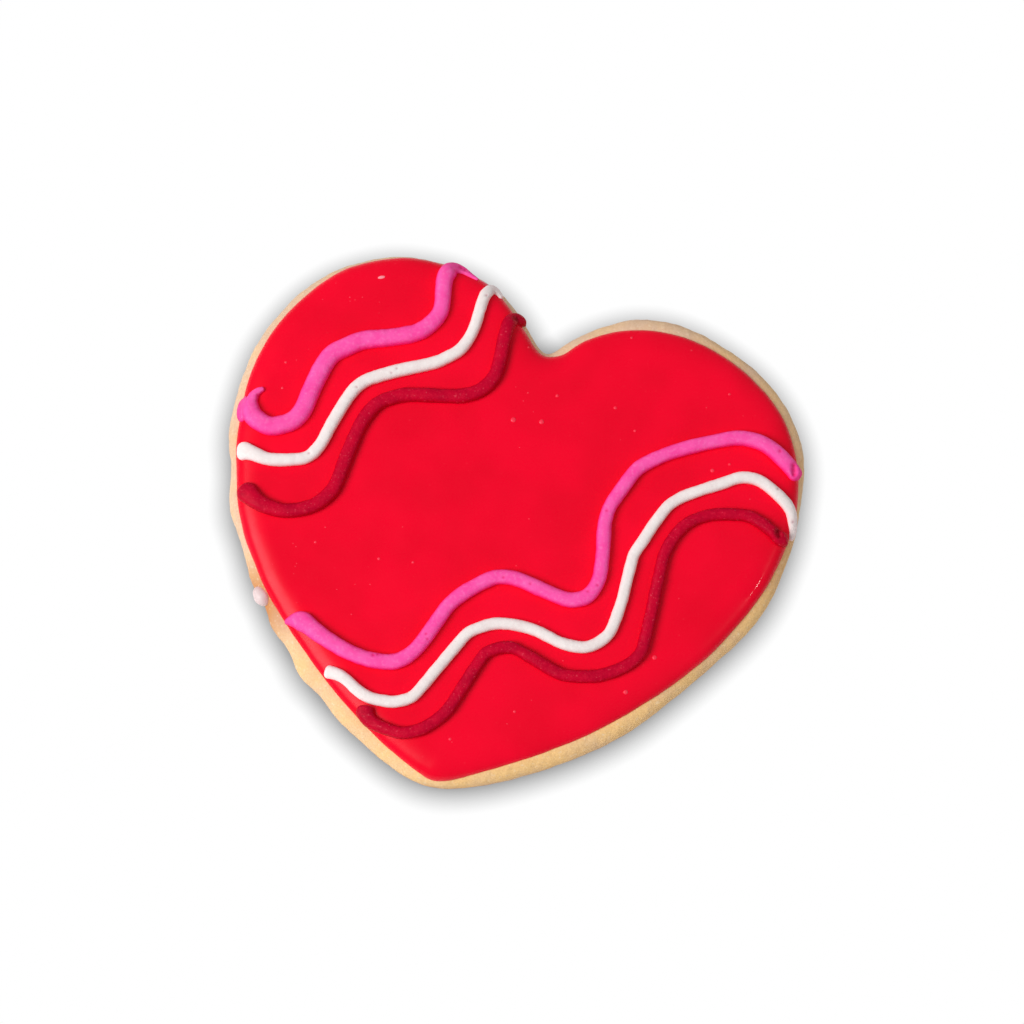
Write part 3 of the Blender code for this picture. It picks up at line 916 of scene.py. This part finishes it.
def add_camera():
    """The camera at the photograph's viewing angle."""
    azimuth, elevation = math.radians(CAMERA_AZIMUTH), math.radians(CAMERA_ELEVATION)
    back = Vector(
        (
            math.sin(azimuth) * math.cos(elevation),
            -math.cos(azimuth) * math.cos(elevation),
            math.sin(elevation),
        )
    )
    camera = bpy.data.objects.new("camera", bpy.data.cameras.new("camera"))
    camera.data.lens = CAMERA_LENS
    camera.data.sensor_width = CAMERA_SENSOR
    camera.data.clip_start = 0.01
    camera.location = CAMERA_AIM + back * CAMERA_DISTANCE
    look_at(camera, CAMERA_AIM)
    bpy.context.scene.collection.objects.link(camera)
    bpy.context.scene.camera = camera


def add_lamp(name, azimuth, elevation, size, power):
    """An area lamp at this azimuth, measured from +X towards +Y, aimed at the cookie."""
    a, e = math.radians(azimuth), math.radians(elevation)
    lamp = bpy.data.lights.new(name, "AREA")
    lamp.shape = "DISK"
    lamp.size = size
    lamp.energy = power
    made = bpy.data.objects.new(name, lamp)
    made.location = Vector(
        (math.cos(a) * math.cos(e), math.sin(a) * math.cos(e), math.sin(e))
    ) * LAMP_DISTANCE
    look_at(made, LAMP_AIM)
    bpy.context.scene.collection.objects.link(made)


def add_floor():
    """A plain floor that is white to the camera but for the cookie's soft shadow."""
    half = FLOOR_HALF
    mesh = bpy.data.meshes.new("floor")
    corners = [(-half, -half, 0), (half, -half, 0), (half, half, 0), (-half, half, 0)]
    mesh.from_pydata(corners, [], [(0, 1, 2, 3)])
    floor = bpy.data.objects.new("floor", mesh)
    bpy.context.scene.collection.objects.link(floor)
    made = bpy.data.materials.new("floor")
    made.use_nodes = True
    tree = made.node_tree
    tree.nodes.clear()
    out = tree.nodes.new("ShaderNodeOutputMaterial")
    diffuse = tree.nodes.new("ShaderNodeBsdfDiffuse")
    diffuse.inputs["Color"].default_value = (0.9, 0.9, 0.9, 1)
    shade = tree.nodes.new("ShaderNodeAmbientOcclusion")
    shade.samples = 16
    shade.inputs["Distance"].default_value = SHADOW_REACH
    shade.inputs["Normal"].default_value = SHADOW_LEAN
    fall = tree.nodes.new("ShaderNodeMapRange")
    fall.inputs["From Min"].default_value = SHADOW_OPENNESS
    fall.inputs["To Min"].default_value = SHADOW_DARKEST
    tree.links.new(shade.outputs["AO"], fall.inputs["Value"])
    glow = tree.nodes.new("ShaderNodeEmission")
    tree.links.new(fall.outputs[0], glow.inputs["Strength"])
    path = tree.nodes.new("ShaderNodeLightPath")
    pick = tree.nodes.new("ShaderNodeMixShader")
    tree.links.new(path.outputs["Is Camera Ray"], pick.inputs[0])
    tree.links.new(diffuse.outputs[0], pick.inputs[1])
    tree.links.new(glow.outputs[0], pick.inputs[2])
    tree.links.new(pick.outputs[0], out.inputs["Surface"])
    mesh.materials.append(made)


def add_world():
    """White behind everything for the camera, a plain dim level for the light."""
    world = bpy.data.worlds.new("world")
    bpy.context.scene.world = world
    world.use_nodes = True
    tree = world.node_tree
    sky = tree.nodes["Background"]
    sky.inputs["Color"].default_value = (1, 1, 1, 1)
    path = tree.nodes.new("ShaderNodeLightPath")
    level = tree.nodes.new("ShaderNodeMapRange")
    level.inputs["To Min"].default_value = WORLD_LIGHT
    tree.links.new(path.outputs["Is Camera Ray"], level.inputs["Value"])
    tree.links.new(level.outputs[0], sky.inputs["Strength"])


add_camera()
add_floor()
add_world()
add_lamp("key", 208, 50, 0.55, 6.7)
add_lamp("edge", 2, 50, 0.05, 0.25)

bpy.context.scene.view_settings.view_transform = "Standard"
